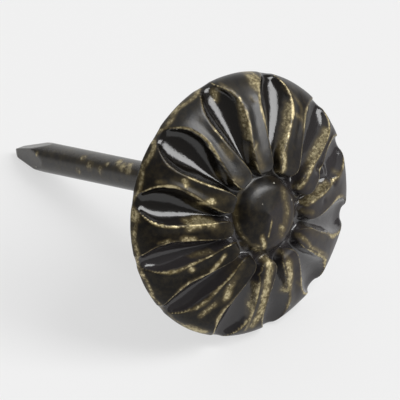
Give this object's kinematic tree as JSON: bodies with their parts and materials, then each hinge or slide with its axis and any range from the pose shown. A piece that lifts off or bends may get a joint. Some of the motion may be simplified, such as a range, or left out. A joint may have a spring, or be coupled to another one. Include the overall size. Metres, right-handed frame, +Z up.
{
  "type": "decorative upholstery tack",
  "caption": "Upholstery tack with a hollow pressed flower head, a round centre button and a leaning round nail with a four-sided point.",
  "frame": {"origin": "centre of the outline of the tack at rest, on the surface it lies on", "axes": "+X from the nail's point towards the face of the head, +Z up. The tack lies on two lobes of its rim and on its point, so its own axis climbs about 18 degrees from +X"},
  "size_m": [0.0166, 0.011, 0.0105],
  "materials": {
    "lacquered_head": "glossy near-black lacquer over antique brass that shows gold where ridges are rubbed",
    "lacquered_nail": "glossy near-black lacquer on steel wire with a few gold rubs"
  },
  "bodies": {
    "root": {"flower_head": "lacquered_head", "nail": "lacquered_nail"}
  },
  "joints": []
}
